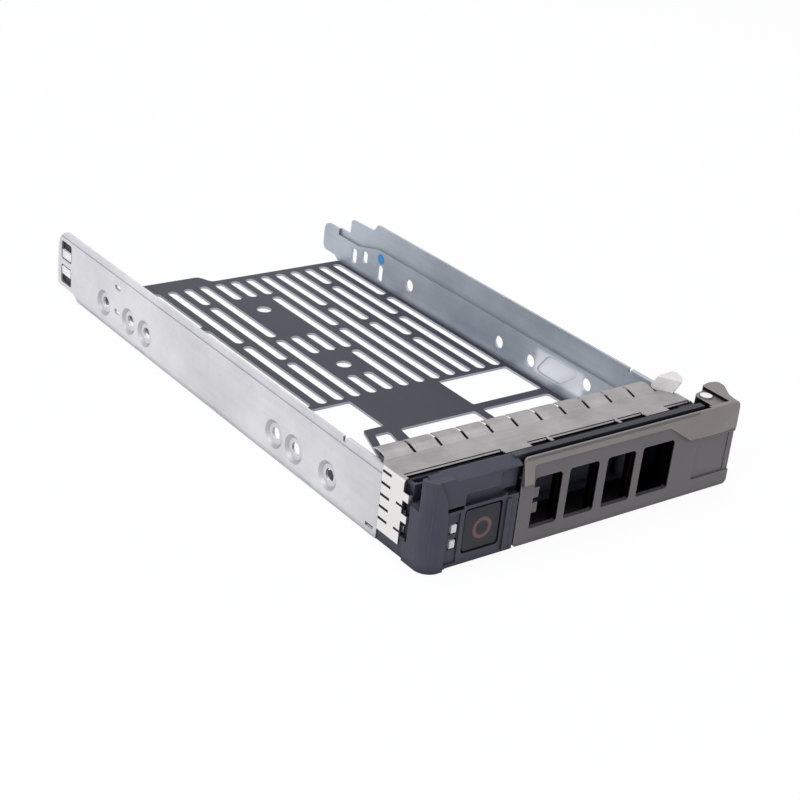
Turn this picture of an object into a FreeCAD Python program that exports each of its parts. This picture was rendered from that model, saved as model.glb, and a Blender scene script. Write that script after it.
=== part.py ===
import FreeCAD, Part
import math
import os
import re
from FreeCAD import Placement, Rotation, Vector

# Hot swap drive caddy for a 3.5 inch drive.
# Frame: X across (the handle's hinge is at +X), Y from the bezel (-Y) to the connector end (+Y), Z up.
# Origin: on the underside of the base plate, on the drive's centre plane, in line with the front
# pair of drive screws.

SIZES = [
    # alias, value in mm, what it is
    ("rail_half_span", 52.5, "centre plane to a rail's outer face"),
    ("metal", 0.8, "sheet thickness of the rails and the base plate"),
    ("rail_height", 21.6, "height of both rails"),
    ("rail_front", -23.4, "front face of the rails' mounting flanges"),
    ("left_rear", 161.0, "rear end of the left rail"),
    ("right_ear_rear", 154.2, "rear end of the right rail's low ear"),
    ("rear_step", 1.8, "how far the rails' rear ends stand above the rest plane"),
    ("hem_low", 19.0, "lower edge of the left rail's stepped-in top hem"),
    ("hem_step", 0.2, "how far that hem is stepped in"),
    ("joggle_front", 12.9, "height of the right rail's joggle along most of its length"),
    ("joggle_rear", 10.0, "height of that joggle near the rear end"),
    ("screw_height", 7.15, "drive side screws above the rest plane"),
    ("screw_pitch", 101.6, "between the two side screws of a drive"),
    ("rear_set", 26.8, "shift of the second set of drive screws"),
    ("third_front", 16.7, "front hole of the third pair"),
    ("third_pitch", 95.25, "between the holes of the third pair"),
    ("dimple_radius", 4.3, "mouth of a screw dimple"),
    ("dimple_floor", 3.2, "floor of a screw dimple"),
    ("screw_hole", 1.9, "radius of a drive screw hole"),
    ("side_hole", 2.1, "radius of the right rail's round holes"),
    ("plate_rear", 144.0, "rear edge of the base plate"),
    ("plate_tab_rear", 149.3, "rear edge of the plate's left tab"),
    ("plate_front", -22.3, "front edge of the plate between the rails"),
    ("tuck_front", -31.0, "front edge of the plate's tongue under the bezel"),
    ("tuck_half", 40.0, "half width of that tongue"),
    ("pattern_shift", 1.2, "middle of the slot pattern right of the centre plane"),
    ("slot_pitch", 6.19, "between neighbouring slot rows"),
    ("slot_width", 3.4, "width of a slot"),
    ("slot_rear", 141.3, "rear end of the slot field"),
    ("slot_front", 47.6, "front end of the slot field"),
    ("slot_land", 2.6, "metal left between two slots of a row"),
    ("staple_length", 6.0, "tongues that key the plate into the rails"),
    ("front_face", -44.0, "front face of the bezel and the handle"),
    ("bezel_height", 26.8, "top of the bezel's lip and of the handle"),
    ("seat_height", 21.9, "top of the bezel under the gasket"),
    ("bezel_half", 52.2, "half width of the bezel under the gasket"),
    ("split", -23.2, "right end of the bezel's own front, where the handle starts"),
    ("recess_front", -41.6, "front of the bezel's wall behind the handle"),
    ("lip_front", -41.7, "front of the upright lip behind the handle"),
    ("lip_rear", -39.6, "rear of that lip"),
    ("trough_rear", -31.7, "rear of the trough between the lip and the gasket"),
    ("trough_floor", 17.0, "floor of that trough"),
    ("cavity_floor", 1.4, "thickness of the bezel's bottom wall"),
    ("cavity_top", 15.8, "top of the bezel's inner hollows"),
    ("gasket", 0.3, "thickness of the gasket's sheet"),
    ("gasket_top", 22.3, "top of the gasket"),
    ("gasket_front", -30.7, "front edge of the gasket's top strip"),
    ("gasket_lip", -29.8, "where the strip's front edge bends down"),
    ("gasket_rear", -15.2, "rear end of the fingers"),
    ("finger_root", -22.0, "front end of the arched fingers and of the slits between them"),
    ("shelf_rear", -16.4, "rear edge of the bezel's shelf under the fingers"),
    ("finger_pitch", 8.76, "between the slits"),
    ("finger_shift", 2.73, "slit next to the centre plane"),
    ("comb_pitch", 3.45, "between the slits of a side flange"),
    ("handle_left", -22.7, "free end of the handle"),
    ("handle_right", 58.2, "hinge end of the handle"),
    ("handle_bottom", 0.3, "lower edge of the handle"),
    ("handle_rear", -42.4, "rear of the handle's panel"),
    ("window_low", 4.6, "lower edge of the handle's windows"),
    ("window_high", 20.0, "upper edge of the handle's windows"),
    ("hood_low", 18.7, "lower edge of the handle's sloping hood"),
    ("hood_line", 24.2, "lower edge of the hood above the windows"),
    ("pin_x", 51.8, "hinge axis"),
    ("pin_y", -36.1, "hinge axis"),
    ("pin_radius", 1.25, "hinge pin"),
    ("running", 0.05, "radial clearance of the hinge"),
    ("ear_low_top", 3.1, "top of the handle's lower ear"),
    ("ear_high_bottom", 22.8, "underside of the handle's upper ear"),
    ("ear_high_top", 25.8, "top of that ear round the pin"),
    ("button_left", -40.3, "release button"),
    ("button_right", -28.7, "release button"),
    ("button_low", 3.6, "release button"),
    ("button_high", 15.6, "release button"),
    ("button_face", -43.7, "front of the release button"),
    ("button_rear", -41.7, "rear of the release button's cap"),
    ("ring_outer", 3.1, "outer radius of the ring on the button"),
    ("ring_inner", 2.1, "inner radius of that ring"),
    ("button_gap", 0.5, "play round the button"),
    ("stem_left", -36.5, "wedge stem of the button"),
    ("stem_right", -32.5, "wedge stem of the button"),
    ("stem_tip", -33.0, "rear tip of the wedge stem"),
    ("wedge_gap", 0.15, "play between the wedge and the latch"),
    ("pipe", 0.7, "thickness of the light pipes"),
    ("pipe_x", -51.65, "outer face of the light pipes along the rail"),
    ("lens_left", -44.7, "light pipe ends at the front"),
    ("lens_right", -43.0, "light pipe ends at the front"),
]

doc = FreeCAD.newDocument("hot_swap_drive_caddy")
sheet = doc.addObject("Spreadsheet::Sheet", "Sizes")
for row, (alias, value, meaning) in enumerate(SIZES, start=1):
    sheet.set(f"A{row}", meaning)
    sheet.set(f"B{row}", str(value))
    sheet.setAlias(f"B{row}", alias)
doc.recompute()
ALIASES = {alias for alias, _, _ in SIZES}
NODES = []


def size(alias):
    """The value of one cell, in millimetres."""
    return float(sheet.get(alias))


def bind(target, prop, expression):
    """Bind a property to an expression in which bare words are cells of the sheet."""
    words = r"[a-z][a-z_]+"
    target.setExpression(prop, re.sub(words, lambda m: f"Sizes.{m[0]}" if m[0] in ALIASES else m[0],
                                      str(expression)))


def block(name, x, y, z):
    """A box from three (low, high) pairs of expressions."""
    box = doc.addObject("Part::Box", name)
    for prop, axis, (low, high) in (("Length", "x", x), ("Width", "y", y), ("Height", "z", z)):
        bind(box, prop, f"({high}) - ({low})")
        bind(box, f"Placement.Base.{axis}", low)
    return box


TURNS = {"X": Rotation(Vector(0, 1, 0), 90), "Y": Rotation(Vector(1, 0, 0), -90), "Z": Rotation()}


def rod(name, axis, start, length, radius, tip_radius=None):
    """A cylinder or cone along +X, +Y or +Z from its start point, all sizes as expressions."""
    kind = "Part::Cylinder" if tip_radius is None else "Part::Cone"
    bar = doc.addObject(kind, name)
    bar.Placement = Placement(Vector(), TURNS[axis])
    for prop, value in zip("xyz", start):
        bind(bar, f"Placement.Base.{prop}", value)
    bind(bar, "Height", length)
    if tip_radius is None:
        bind(bar, "Radius", radius)
    else:
        bind(bar, "Radius1", radius)
        bind(bar, "Radius2", tip_radius)
    return bar


def rounded_edges(points):
    """Lines and arcs through (u, v) or (u, v, corner radius) points, closed."""
    corners = []
    count = len(points)
    for i, point in enumerate(points):
        here = Vector(point[0], point[1], 0)
        radius = point[2] if len(point) > 2 else 0
        before = Vector(points[i - 1][0], points[i - 1][1], 0) - here
        after = Vector(points[(i + 1) % count][0], points[(i + 1) % count][1], 0) - here
        if radius:
            before.normalize()
            after.normalize()
            half = before.getAngle(after) / 2
            reach = radius / math.tan(half)
            inward = (before + after).normalize()
            centre = here + inward * (radius / math.sin(half))
            corners.append((here + before * reach, centre - inward * radius, here + after * reach))
        else:
            corners.append((here,))
    edges = []
    for i, corner in enumerate(corners):
        if len(corner) == 3:
            edges.append(Part.Arc(*corner))
        following = corners[(i + 1) % count][0]
        if corner[-1].distanceToPoint(following) > 1e-6:
            edges.append(Part.LineSegment(corner[-1], following))
    return edges


PLANES = {"XY": "XY_Plane", "XZ": "XZ_Plane", "YZ": "YZ_Plane"}


def prism(name, plane, points, low, high):
    """A body padded from an outline on an origin plane, between two heights across that plane."""
    body = doc.addObject("PartDesign::Body", name)
    sketch = body.newObject("Sketcher::SketchObject", f"{name}_outline")
    base = next(f for f in body.Origin.OriginFeatures if f.Role == PLANES[plane])
    sketch.AttachmentSupport = [(base, "")]
    sketch.MapMode = "FlatFace"
    sketch.addGeometry(rounded_edges(points), False)
    # the XZ plane's normal is -Y, so its pad starts at the far side
    bind(sketch, "AttachmentOffset.Base.z", f"-({high})" if plane == "XZ" else low)
    pad = body.newObject("PartDesign::Pad", f"{name}_pad")
    pad.Profile = sketch
    bind(pad, "Length", f"({high}) - ({low})")
    body.Tip = pad
    sketch.Visibility = False
    return body


def fused(name, parts):
    """One solid from several that overlap or touch."""
    joined = doc.addObject("Part::MultiFuse", name)
    joined.Shapes = parts
    return joined


def cut(name, base, tools):
    """The base less its tools."""
    result = doc.addObject("Part::Cut", name)
    result.Base = base
    result.Tool = tools[0] if len(tools) == 1 else fused(f"{name}_tools", tools)
    return result


def shaped(name, shape):
    """A feature whose shape is worked out here from the sheet's values."""
    feature = doc.addObject("Part::Feature", name)
    feature.Shape = shape
    feature.Placement = Placement()
    return feature


def node(label, target):
    """Keep an object as one of the caddy's sub-parts."""
    target.Label = label
    NODES.append(target)


def rectangle(low_u, high_u, low_v, high_v, radius=0.0):
    """Corner points of a rectangle with rounded corners."""
    return [(low_u, low_v, radius), (high_u, low_v, radius), (high_u, high_v, radius),
            (low_u, high_v, radius)]


# ---------------------------------------------------------------- rails

HOLE_ROWS = [("0", "screw_pitch"), ("rear_set", "rear_set + screw_pitch"),
             ("third_front", "third_front + third_pitch")]
STAPLES = [10.0, 60.0, 104.0, 134.0]
NOTCH_PLAY = 0.05
BEZEL_SCREW_X = 45.6
LEFT_BEZEL_SCREWS = (3.4, 18.2)
RIGHT_BEZEL_SCREWS = (9.5, 18.2)


def staple_notches(side, inner, outer):
    """Openings in a rail's lower edge for the plate's tongues."""
    return [block(f"{side}_notch_{i}", (inner, outer),
                  (f"{y} - staple_length / 2 - {NOTCH_PLAY}", f"{y} + staple_length / 2 + {NOTCH_PLAY}"),
                  ("-1", f"metal + {NOTCH_PLAY}")) for i, y in enumerate(STAPLES)]


def left_rail():
    """Outer wall with sunk screw dimples, a stepped top hem and two sensor windows at the rear."""
    height, rear, step = size("rail_height"), size("left_rear"), size("rear_step")
    front = size("rail_front")
    outline = [(front, 0), (146.5, 0, 1.5), (149.8, step, 1.5), (rear, step, 1.5), (rear, height, 7.0),
               (front, height)]
    outer, hem_outer = "-rail_half_span", "-rail_half_span + hem_step"
    wall = prism("left_wall_blank", "YZ", outline, outer, "-rail_half_span + metal + hem_step")
    hem_room = block("left_hem_room", (f"{outer} - 1", hem_outer), ("rail_front - 1", "left_rear + 1"),
                     ("hem_low + 0.2", "rail_height + 1"))
    wall_room = block("left_wall_room", ("-rail_half_span + metal", "-rail_half_span + metal + 1"),
                      ("rail_front - 1", "left_rear + 1"), ("-1", "hem_low"))
    wall = cut("left_wall", wall, [hem_room, wall_room])
    flange = prism("left_flange", "XZ", rectangle(-52.3, -42.0, 1.5, 20.4, 0.8), "rail_front",
                   "rail_front + metal")
    tab_outline = [(-52.0, -20.8), (-50.95, -20.8, 0.6), (-50.95, -6.6, 0.6), (-52.0, -6.6)]
    tab = prism("left_top_tab", "XY", tab_outline, "rail_height - metal", "rail_height")
    bumps, holes = [], []
    for i, y in enumerate(y for row in HOLE_ROWS for y in row):
        inner_face = "-rail_half_span + metal"
        bumps.append(rod(f"left_bump_{i}", "X", (inner_face, y, "screw_height"), "metal",
                         "dimple_radius + 0.1", "dimple_floor + 0.3"))
        holes.append(rod(f"left_dimple_{i}", "X", (outer, y, "screw_height"), "metal", "dimple_radius",
                         "dimple_floor"))
        holes.append(rod(f"left_hole_{i}", "X", (f"{outer} - 1", y, "screw_height"), "4", "screw_hole"))
    body = fused("left_rail_solid", [wall, flange, tab] + bumps)
    through = ("-rail_half_span - 1", "-rail_half_span + 2")
    for i, (low, high) in enumerate(((3.2, 9.6), (11.6, 17.9))):
        holes.append(prism(f"left_window_{i}", "YZ", rectangle(151.6, 158.8, low, high, 0.9), *through))
    for i, z in enumerate((15.7, 7.4)):
        holes.append(prism(f"left_oval_{i}", "YZ", rectangle(117.6, 121.2, z - 0.8, z + 0.8, 0.75), *through))
    holes.append(block("left_tab_relief", ("-rail_half_span - 1", "-48"), ("-6.6", "-5.2"),
                       ("rail_height - 1.4", "rail_height + 1")))
    holes.append(block("left_front_slot", through, ("-21.9", "-18.4"), ("1.8", "2.8")))
    holes.append(block("left_pipe_gate", ("-51.75", "-50.6"), ("rail_front - 1", "rail_front + 2"),
                       ("5.4", "14.0")))
    for i, z in enumerate(LEFT_BEZEL_SCREWS):
        start = (-BEZEL_SCREW_X, "rail_front - 1", z)
        holes.append(rod(f"left_flange_hole_{i}", "Y", start, "3", "1.05"))
    notches = staple_notches("left", "-rail_half_span - 1", "-rail_half_span + metal + 0.05")
    node("left_rail", cut("left_rail_cut", body, holes + notches))


# see-through holes of the right rail: y, z, half width, half height
RIGHT_SLOTS = [(134.8, 6.0, 1.6, 2.8), (128.3, 7.8, 1.6, 2.2), (118.8, 5.2, 1.5, 3.0)]
RIGHT_HOLES = [(10.4, 9.2), (36.6, 6.2), (52.4, 6.2)]
PLUG = (118.8, 10.5, 1.9)


def right_rail():
    """Inner wall below a joggle, outer wall above it, and a low rounded ear at the rear."""
    height, front, low_top = size("rail_height"), size("rail_front"), 12.7
    joggle, rear_joggle = size("joggle_front"), size("joggle_rear")
    ear = size("right_ear_rear")
    overlap = 0.4
    lower = [(front, 0), (143.6, 0, 1.0), (146.6, 2.2, 1.0), (ear, 2.2, 2.2), (ear, low_top, 3.2),
             (145.2, low_top), (145.2, rear_joggle + overlap), (133.0, rear_joggle + overlap),
             (121.0, joggle + overlap), (front, joggle + overlap)]
    upper = [(front, joggle - overlap), (121.0, joggle - overlap), (133.0, rear_joggle - overlap),
             (146.0, rear_joggle - overlap), (146.0, low_top), (139.4, low_top, 0.5), (139.0, 18.3, 1.0),
             (125.8, 18.7, 0.6), (123.4, height, 0.8), (front, height)]
    middle = "rail_half_span - metal"
    pad = [(13.0, 11.6, 1.2), (28.5, 11.6, 3.5), (33.8, 4.2, 1.2), (21.5, 4.2, 4.0)]
    tab_outline = [(52.0, -20.8), (50.95, -20.8, 0.6), (50.95, -6.6, 0.6), (52.0, -6.6)]
    parts = [prism("right_lower_wall", "YZ", lower, f"{middle} - metal", middle),
             prism("right_upper_wall", "YZ", upper, middle, "rail_half_span"),
             prism("right_flange", "XZ", rectangle(42.0, 52.3, 1.5, 20.4, 0.8), "rail_front",
                   "rail_front + metal"),
             prism("right_top_tab", "XY", tab_outline, "rail_height - metal", "rail_height"),
             prism("right_pad_back", "YZ", pad, f"{middle} - 0.1", f"{middle} + 0.3")]
    body = fused("right_rail_solid", parts)
    through = ("50", "53.5")
    holes = [prism(f"right_slot_{i}", "YZ", rectangle(y - w, y + w, z - h, z + h, 1.2), *through)
             for i, (y, z, w, h) in enumerate(RIGHT_SLOTS)]
    drive_holes = [("0", "screw_height"), ("screw_pitch", "screw_height")]
    holes += [rod(f"right_hole_{i}", "X", ("50", y, z), "3.5", "side_hole")
              for i, (y, z) in enumerate(RIGHT_HOLES + drive_holes)]
    holes.append(prism("right_pad_front", "YZ", pad, f"{middle} - metal - 1", f"{middle} - metal + 0.3"))
    holes.append(rod("right_plug_hole", "X", ("50", PLUG[0], PLUG[1]), "3.5", PLUG[2]))
    holes.append(block("right_tab_relief", ("48", "53.5"), ("-6.6", "-5.2"),
                       ("rail_height - 1.4", "rail_height + 1")))
    for i, z in enumerate(RIGHT_BEZEL_SCREWS):
        start = (BEZEL_SCREW_X, "rail_front - 1", z)
        holes.append(rod(f"right_flange_hole_{i}", "Y", start, "3", "1.05"))
    notches = staple_notches("right", "50.7", "rail_half_span + 1")
    node("right_rail", cut("right_rail_cut", body, holes + notches))


def rail_plug():
    """Small plastic plug in the right rail, flush on the drive's side, headed outside."""
    y, z, radius = PLUG
    inner = "rail_half_span - 2 * metal + 0.05"
    shank = rod("plug_shank", "X", (inner, y, z), "0.8", radius)
    head = rod("plug_head", "X", ("rail_half_span - metal", y, z), "0.7", radius)
    node("rail_plug", fused("rail_plug_solid", [shank, head]))


# ---------------------------------------------------------------- base plate

PLATE_HOLES = (68.6, 116.0)
PLATE_SCREWS = ((-30.0, -27.0), (32.0, -27.0))
# middles of the lands that interrupt each kind of slot row, and the order of the rows
ROWS = {"A": (109.7,), "B": (94.0,), "C": (125.3, 77.8)}
ROW_ORDER = "BCBABCBDDCBABCBA"


def slot_spans(kind):
    """The slots of one row as (front, rear) spans, from the lands that interrupt it."""
    front, rear, half_land = size("slot_front"), size("slot_rear"), size("slot_land") / 2
    if kind == "D":
        return [(front, 61.0), (79.1, 93.4), (126.6, rear)]
    spans, start = [], front
    for land in sorted(ROWS[kind]):
        spans.append((start, land - half_land))
        start = land + half_land
    return spans + [(start, rear)]


def round_slot(x, front, rear, width):
    """A lengthwise slot with round ends, cut right through the plate."""
    radius = width / 2
    bar = Part.makeBox(width, rear - front - width, 4, Vector(x - radius, front + radius, -2))
    ends = [Part.makeCylinder(radius, 4, Vector(x, y, -2)) for y in (front + radius, rear - radius)]
    return bar.fuse(ends).removeSplitter()


def base_plate():
    """Coated sheet with rows of staggered slots and five larger openings near the bezel."""
    half, metal = size("rail_half_span"), size("metal")
    left, right = -(half - metal - 0.05), half - 2 * metal - 0.05
    front, rear, tab_rear = size("plate_front"), size("plate_rear"), size("plate_tab_rear")
    tuck, half_tuck = size("tuck_front"), size("tuck_half")
    outline = [(left, front), (-half_tuck, front), (-half_tuck, tuck, 1.5), (half_tuck, tuck, 1.5),
               (half_tuck, front), (right, front), (right, rear, 1.0), (-2.6, rear, 2.0),
               (-5.0, tab_rear, 2.0), (left, tab_rear, 1.5)]
    sheet_metal = prism("plate_blank", "XY", outline, "0", "metal")
    tongues = []
    for i, y in enumerate(STAPLES):
        span = (f"{y} - staple_length / 2", f"{y} + staple_length / 2")
        tongues.append(block(f"plate_left_tongue_{i}", ("-rail_half_span", left + 0.5), span, ("0", "metal")))
        tongues.append(block(f"plate_right_tongue_{i}", (right - 0.5, "rail_half_span - metal"), span,
                             ("0", "metal")))
    middle, pitch = size("pattern_shift"), size("slot_pitch")
    slots = [round_slot(middle + pitch * (row - 7.5), start, end, size("slot_width"))
             for row, kind in enumerate(ROW_ORDER) for start, end in slot_spans(kind)]
    openings = [rectangle(21.4, 49.2, 27.7, 45.7, 0.8),
                rectangle(21.9, 48.7, 10.0, 24.1, 1.2),
                [(-11.6, 10.0, 1.2), (18.9, 10.0, 1.2), (18.9, 24.1, 1.2), (-9.4, 24.1, 1.2)],
                [(-24.0, 10.0, 1.2), (-16.4, 10.0, 1.2), (-13.4, 24.1, 1.2), (-18.6, 24.1, 1.2)],
                [(-46.8, 12.0, 1.2), (-25.8, 12.0, 1.2), (-20.2, 27.7, 1.0), (-12.6, 27.7, 0.8),
                 (-12.6, 45.7, 0.8), (-46.8, 45.7, 0.8)]]
    tools = [shaped("plate_slots", Part.makeCompound(slots))]
    tools += [prism(f"plate_opening_{i}", "XY", points, "-1", "2") for i, points in enumerate(openings)]
    for i, y in enumerate(PLATE_HOLES):
        tools.append(rod(f"plate_hole_{i}", "Z", ("pattern_shift", y, "-1"), "3", "2.5"))
    for i, (x, y) in enumerate(PLATE_SCREWS):
        tools.append(rod(f"plate_sink_{i}", "Z", (x, y, "0"), "metal", "1.9", "1.1"))
    node("base_plate", cut("base_plate_cut", fused("plate_solid", [sheet_metal] + tongues), tools))


def ribbon(points, width):
    """Outline of a strip of even width along a path, mitred at its corners."""
    path = [Vector(u, v, 0) for u, v in points]
    sides = [], []
    for i, here in enumerate(path):
        ahead = (path[min(i + 1, len(path) - 1)] - path[min(i, len(path) - 2)]).normalize()
        behind = (path[max(i, 1)] - path[max(i - 1, 0)]).normalize()
        normals = [Vector(-d.y, d.x, 0) for d in (behind, ahead)]
        mitre = (normals[0] + normals[1]).normalize()
        reach = width / 2 / mitre.dot(normals[0])
        sides[0].append(here + mitre * reach)
        sides[1].append(here - mitre * reach)
    return [(p.x, p.y) for p in sides[0] + sides[1][::-1]]


# ---------------------------------------------------------------- bezel

LENS_HEIGHTS = (11.4, 6.9)
WINDOWS = [(-18.0, -8.2), (-5.8, 5.0), (7.8, 18.5), (21.0, 33.3)]


def bezel_outside():
    """The bezel's outer masses: seat for the gasket, left front, cheek, lip and trim."""
    seat, high, front = size("seat_height"), size("bezel_height"), size("front_face")
    half, lip_rear = size("bezel_half"), size("lip_rear")
    block_outline = [(-half, 0), (half, 0), (half, seat, 1.0), (-half, seat, 1.0)]
    head = [(front, 0, 0.4), (front, 25.3, 0.35), (lip_rear - 0.4, high, 0.3), (lip_rear, high - 0.1),
            (lip_rear, 0)]
    cheek = [(-52.9, -35.2), (-52.9, -44.9, 4.4), (-46.2, -44.9, 0.9), (-45.4, -43.9), (-45.4, -35.2)]
    cheek_cut = [(-46.9, 14.0), (-47.8, 20.5, 9.0), (-51.0, 27.5), (-45.0, 27.5), (-45.0, -1), (-46.9, -1)]
    return [
        prism("bezel_seat_block", "XZ", block_outline, "recess_front", "rail_front"),
        prism("bezel_head", "YZ", head, "-51.4", "split"),
        cut("bezel_cheek", prism("bezel_cheek_blank", "XY", cheek, "0", "26.2"),
            [prism("bezel_cheek_cut", "XZ", cheek_cut, "-46", "front_face")]),
        block("bezel_lip", ("split - 1", "45.5"), ("lip_front", "lip_rear"),
              ("seat_height - 1", "bezel_height")),
        block("bezel_shelf", ("-48.5", "48.5"), ("rail_front - 1", "shelf_rear"), ("20.7", "21.7")),
        block("bezel_rib", ("-27.1", "-25.8"), ("front_face - 0.5", "front_face + 0.5"), ("1", "16.2")),
    ]


def bezel_hollows():
    """What is taken out of the bezel: air path, latch room, channels and the hinge's room."""
    brow = [(-41.2, 17.2, 0.5), (-28.2, 17.2), (-26.6, 18.4, 0.5), (-28.8, 20.9, 1.5), (-41.2, 20.9, 0.5)]
    pocket = [(-30.2, 25.0, 1.0), (-23.0, 25.0), (-23.0, 18.0), (-27.4, 18.0), (-30.2, 21.4, 1.5)]
    tools = [
        block("bezel_trough", ("-49.5", "50.5"), ("-34.4", "trough_rear"), ("trough_floor", "30")),
        block("bezel_seat_edge", ("-51.4", "51.4"), ("-34", "gasket_lip + 0.1"), ("seat_height - 1", "30")),
        block("bezel_cheek_step", ("-54", "-44"), ("lip_rear", "-34"), ("21.4", "30")),
        block("bezel_cheek_notch", ("-54", "-47.6"), ("lip_rear - 0.6", "-35"), ("16.6", "30")),
        block("bezel_side_slit", ("-54", "-50.9"), ("-36.6", "-32.7"), ("5.9", "30")),
        block("bezel_air_front", ("-20.6", "43"), ("lip_rear", "-35"), ("cavity_floor", "20.8")),
        block("bezel_air_rear", ("-20.6", "43"), ("-35.1", "-25"), ("cavity_floor", "cavity_top")),
        block("bezel_latch_room", ("-49.6", "-22.2"), ("-42.3", "-29.8"), ("cavity_floor", "cavity_top")),
        block("bezel_latch_hatch", ("-43", "-23.2"), ("-41.3", "-31.6"), ("-1", "2")),
        block("bezel_latch_gate", ("-22.4", "-20.4"), ("-37.2", "-30.8"), ("9.5", "12.5")),
        block("bezel_hook_gate", ("-20.5", "-16"), ("-42", "lip_rear + 0.1"), ("8.8", "13.2")),
        block("bezel_pipe_room", ("-50.7", "-43"), ("-34", "-26"), ("5.4", "14")),
        block("bezel_pipe_groove", ("-51.75", "-50.6"), ("-32.7", "-22"), ("5.4", "14")),
        block("bezel_hinge_room", ("46.6", "54"), ("-42", "-31.5"), ("-1", "30")),
        block("bezel_tuck", ("-tuck_half - 0.1", "tuck_half + 0.1"), ("tuck_front - 0.1", "-22"),
              ("-1", "metal + 0.05")),
        block("bezel_lens_strip", ("-46.2", "-42.2"), ("front_face - 0.2", "front_face + 0.4"),
              ("1.2", "15.8")),
        block("bezel_mark_slot", ("-46.7", "-41.3"), ("-46", "-42.2"), ("16.6", "17.8")),
        block("bezel_pocket_slot", ("-27.2", "split + 0.1"), ("-46", "-41.2"), ("17.0", "18.5")),
        prism("bezel_brow", "XZ", brow, "-46", "front_face + 1.6"),
        prism("bezel_pocket", "XZ", pocket, "-46", "front_face + 1.6"),
    ]
    button = rectangle(size("button_left") - size("button_gap"), size("button_right") + size("button_gap"),
                       size("button_low") - size("button_gap"), size("button_high") + 0.7, 1.2)
    tools.append(prism("bezel_button_hole", "XZ", button, "front_face - 1", "-42"))
    for i, z in enumerate(LENS_HEIGHTS):
        tools.append(block(f"bezel_lens_{i}", ("lens_left - 0.5", "lens_right + 0.6"), ("-45", "-42"),
                           (f"{z} - 1.6", f"{z} + 1.6")))
    for i, (low, high) in enumerate(WINDOWS):
        tools.append(block(f"bezel_air_in_{i}", (low - 0.5, high + 0.5), ("-42", "lip_rear + 0.1"),
                           ("3.4", "20.8")))
        tools.append(block(f"bezel_air_out_{i}", (low + 1.0, high - 1.0), ("-26", "-23"), ("9.8", "15.4")))
    for side, heights in ((-1, LEFT_BEZEL_SCREWS), (1, RIGHT_BEZEL_SCREWS)):
        for i, z in enumerate(heights):
            start = (side * BEZEL_SCREW_X, "rail_front - 5.6", z)
            tools.append(rod(f"bezel_screw_hole_{i}_{side + 1}", "Y", start, "6", "1.05"))
    return tools


def bezel():
    """Hollow plastic front with the hinge lugs, the latch room and ribs for the springs."""
    body = cut("bezel_hollowed", fused("bezel_masses", bezel_outside()), bezel_hollows())
    added = [block("bezel_button_rib", ("-32.2", "-27.4"), ("-36", "-29.7"), ("2.0", "7.4")),
             block("bezel_latch_rib", ("-46.4", "-45.4"), ("-34.6", "-32"), ("cavity_floor - 0.1", "12.4")),
             rod("bezel_plate_boss", "Z", (*PLATE_SCREWS[1], "metal + 0.05"), "8", "2.6")]
    for i, (low, high) in enumerate((("3.4", "8.6"), ("16", "21.8"))):
        added.append(rod(f"bezel_lug_{i}", "Z", ("pin_x", "pin_y", low), f"{high} - {low}", "4.2"))
        added.append(block(f"bezel_lug_web_{i}", ("46", "52.2"), ("pin_y", "-31.6"), (low, high)))
    holes = [rod("bezel_pin_hole", "Z", ("pin_x", "pin_y", "-1"), "30", "pin_radius")]
    for i, (x, y) in enumerate(PLATE_SCREWS):
        holes.append(rod(f"bezel_plate_hole_{i}", "Z", (x, y, "0"), "6.4", "1.0"))
    node("bezel_body", cut("bezel_cut", fused("bezel_solid", [body] + added), holes))


def latch_cover():
    """Small plate that closes the latch room from below."""
    node("latch_cover", block("latch_cover_plate", ("-42.9", "-23.3"), ("-41.2", "-31.7"),
                              ("0.1", "cavity_floor - 0.1")))


# ---------------------------------------------------------------- gasket

def gasket_flap():
    """Last spring finger on the hinge side: it twists outward and rises clear of the handle's claw."""
    thick = size("gasket")
    middle = size("gasket_top") - thick / 2
    rise = ribbon([(-7.0, middle), (0.0, middle), (2.7, middle + 2.9), (5.8, middle + 4.3)], thick)
    sheet_metal = prism("gasket_flap_sheet", "XZ", rise, "-8", "8")
    sheet_metal.Placement = Placement(Vector(48.6, -22.4, 0), Rotation(Vector(0, 0, 1), 32.3))
    outline = [(46.98, -25.3), (54.7, -24.8, 1.8), (54.7, -20.4, 1.6), (50.5, -18.9, 1.0),
               (46.98, -18.9, 0.6)]
    trimmed = doc.addObject("Part::MultiCommon", "gasket_flap_trimmed")
    trimmed.Shapes = [sheet_metal, prism("gasket_flap_outline", "XY", outline, "20", "30")]
    claw_room = rod("gasket_flap_claw_room", "Z", ("pin_x", "pin_y", "22.35"), "8", "10.95")
    return cut("gasket_flap", trimmed, [claw_room])


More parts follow.
